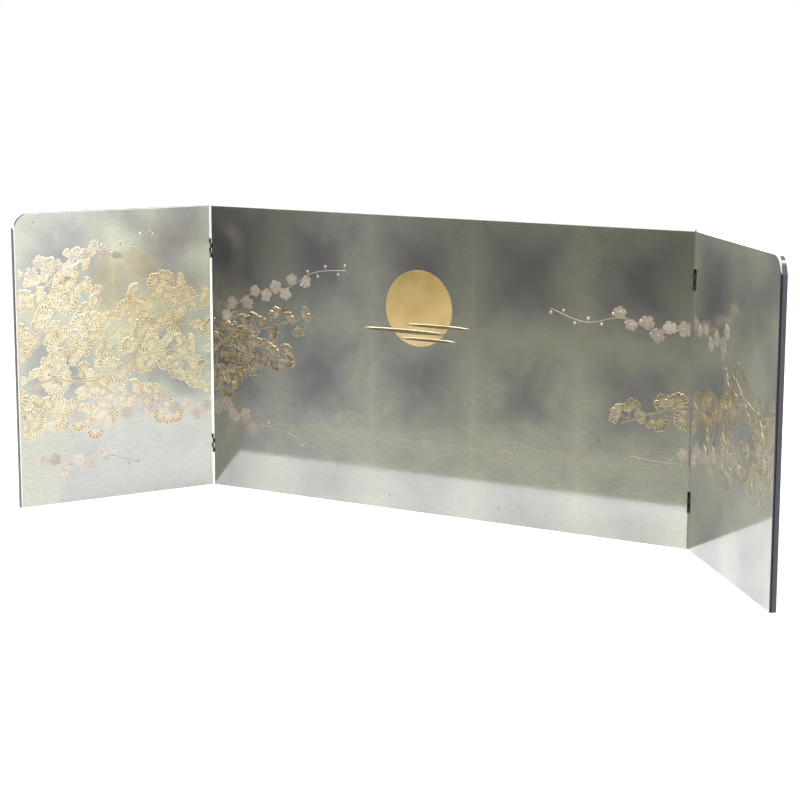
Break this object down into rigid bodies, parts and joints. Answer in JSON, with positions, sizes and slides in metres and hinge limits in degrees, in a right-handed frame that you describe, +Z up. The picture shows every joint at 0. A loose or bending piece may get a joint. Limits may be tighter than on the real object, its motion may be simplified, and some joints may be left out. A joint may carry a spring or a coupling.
{
  "type": "folding screen",
  "caption": "Low tabletop folding screen of thin lacquered boards with silver-leaf faces, joined by slim knuckle hinges so the side panels open flat or close over the centre.",
  "frame": {"origin": "middle of the centre panel's foot, on the surface the screen stands on, halfway through the panel's thickness", "axes": "+Z up, +X along the centre panel to the right as seen from the front, +Y to the rear; the leafed faces look towards -Y"},
  "size_m": [0.7334, 0.1847, 0.275],
  "materials": {
    "black_lacquer": "black gloss lacquer on fibreboard",
    "silver_leaf": "aged silver leaf under clear gloss",
    "back_sheet": "black satin paper laminate",
    "hinge_black": "black stoved",
    "pin_metal": "blackened steel with bright peened ends",
    "screw_metal": "blackened",
    "gold_paint": "matt gold powder paint",
    "blossom_paint": "matt pale pigment"
  },
  "bodies": {
    "centre_panel": {"centre_board": "black_lacquer", "centre_face": "silver_leaf", "centre_back": "back_sheet", "left_upper_hinge_centre_leaf": "hinge_black", "left_upper_hinge_pin": "pin_metal", "left_upper_hinge_centre_screws": "screw_metal", "left_lower_hinge_centre_leaf": "hinge_black", "left_lower_hinge_pin": "pin_metal", "left_lower_hinge_centre_screws": "screw_metal", "right_upper_hinge_centre_leaf": "hinge_black", "right_upper_hinge_pin": "pin_metal", "right_upper_hinge_centre_screws": "screw_metal", "right_lower_hinge_centre_leaf": "hinge_black", "right_lower_hinge_pin": "pin_metal", "right_lower_hinge_centre_screws": "screw_metal"},
    "left_panel": {"left_board": "black_lacquer", "left_face": "silver_leaf", "left_back": "back_sheet", "left_upper_hinge_side_leaf": "hinge_black", "left_upper_hinge_side_screws": "screw_metal", "left_lower_hinge_side_leaf": "hinge_black", "left_lower_hinge_side_screws": "screw_metal"},
    "right_panel": {"right_board": "black_lacquer", "right_face": "silver_leaf", "right_back": "back_sheet", "right_upper_hinge_side_leaf": "hinge_black", "right_upper_hinge_side_screws": "screw_metal", "right_lower_hinge_side_leaf": "hinge_black", "right_lower_hinge_side_screws": "screw_metal"}
  },
  "joints": [
    {"name": "left_fold", "type": "hinge", "parent": "centre_panel", "child": "left_panel", "pos_m": [-0.2506, -0.00367, 0.1375], "axis": [0, 0, 1], "range_deg": [-63.3, 116.7]},
    {"name": "right_fold", "type": "hinge", "parent": "centre_panel", "child": "right_panel", "pos_m": [0.2506, -0.00367, 0.1375], "axis": [0, 0, -1], "range_deg": [-48.8, 131.2]}
  ]
}
